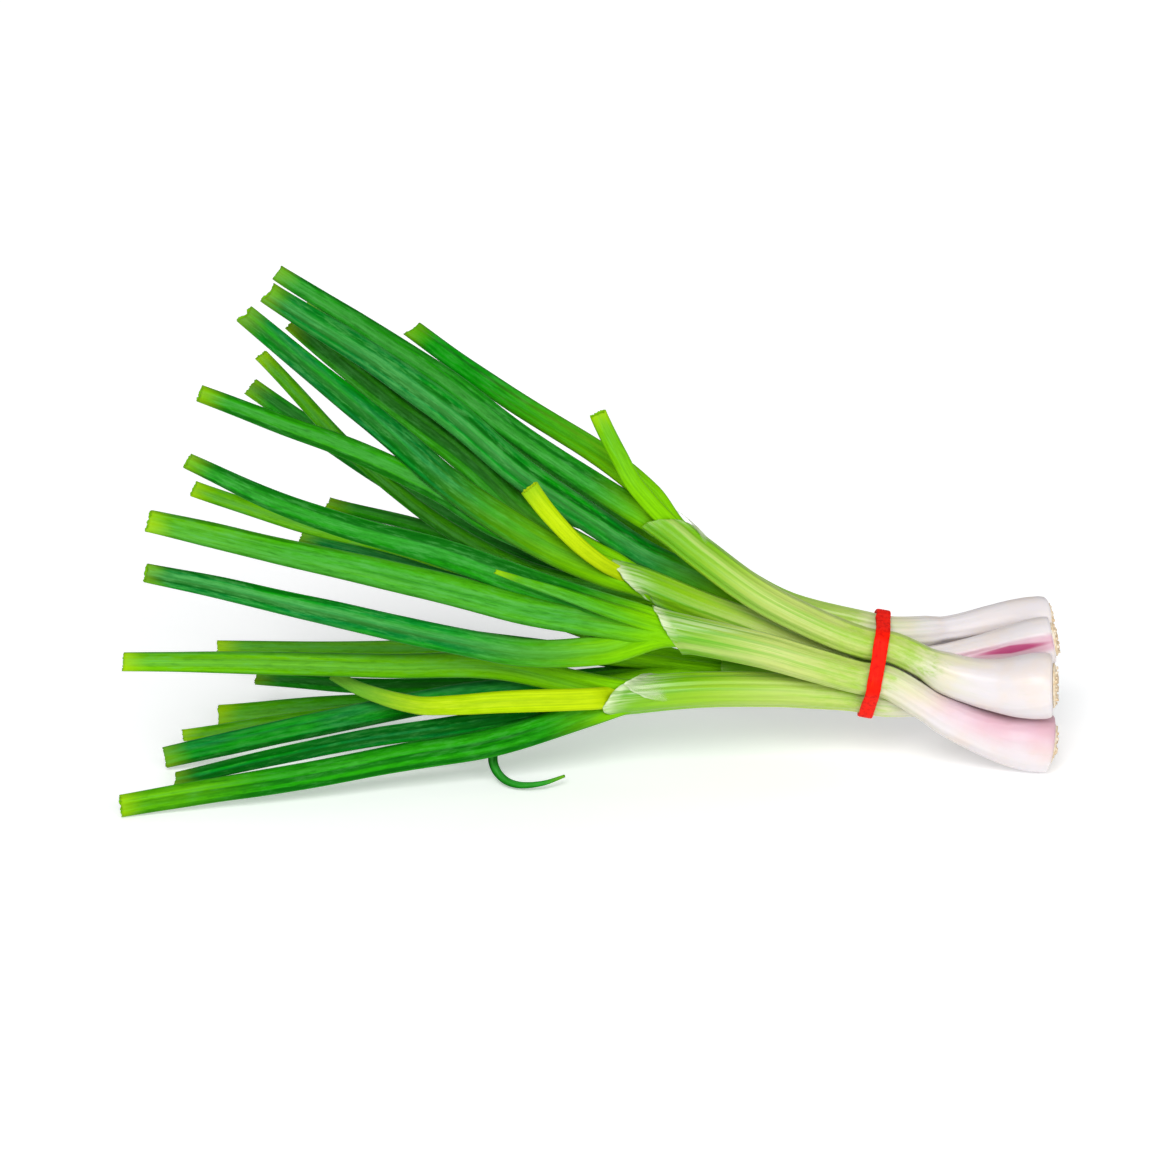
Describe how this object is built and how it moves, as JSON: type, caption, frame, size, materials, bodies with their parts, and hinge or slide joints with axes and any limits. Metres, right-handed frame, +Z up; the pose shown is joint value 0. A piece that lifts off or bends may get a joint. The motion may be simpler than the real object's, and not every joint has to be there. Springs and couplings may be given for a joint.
{
  "type": "spring onion bunch",
  "caption": "Bunch of spring onions lying on its side, tied at the necks with a rubber band, with slim bulbs at one end and cut hollow green leaves fanning out at the other.",
  "frame": {"origin": "middle of the floor area that the bunch covers, on the surface it lies on", "axes": "+X along the bunch towards the bulbs, -X towards the cut leaves, -Y the front, +Z up"},
  "size_m": [0.3024, 0.1205, 0.1665],
  "materials": {
    "bulb_and_sheath": "white bulb tinged purple, pale green sheath, satin",
    "green_leaf": "deep green with a bluish bloom, satin",
    "yellow_leaf": "yellow green, satin",
    "roots": "dry tan root plate",
    "rubber_band": "red, satin"
  },
  "bodies": {
    "root": {"onion_1_bulb": "bulb_and_sheath", "onion_1_leaves": "green_leaf", "onion_1_roots": "roots", "onion_2_bulb": "bulb_and_sheath", "onion_2_leaves": "green_leaf", "onion_2_roots": "roots", "onion_3_bulb": "bulb_and_sheath", "onion_3_leaves": "green_leaf", "onion_3_roots": "roots", "onion_4_bulb": "bulb_and_sheath", "onion_4_leaves": "green_leaf", "onion_4_roots": "roots", "onion_5_bulb": "bulb_and_sheath", "onion_5_leaves": "green_leaf", "onion_5_roots": "roots", "onion_6_bulb": "bulb_and_sheath", "onion_6_leaves": "green_leaf", "onion_6_roots": "roots", "onion_7_bulb": "bulb_and_sheath", "onion_7_leaves": "green_leaf", "onion_7_roots": "roots", "onion_2_outer_leaf": "green_leaf", "onion_2_yellow_leaf": "yellow_leaf", "onion_4_yellow_leaf": "yellow_leaf", "rubber_band": "rubber_band"}
  },
  "joints": []
}
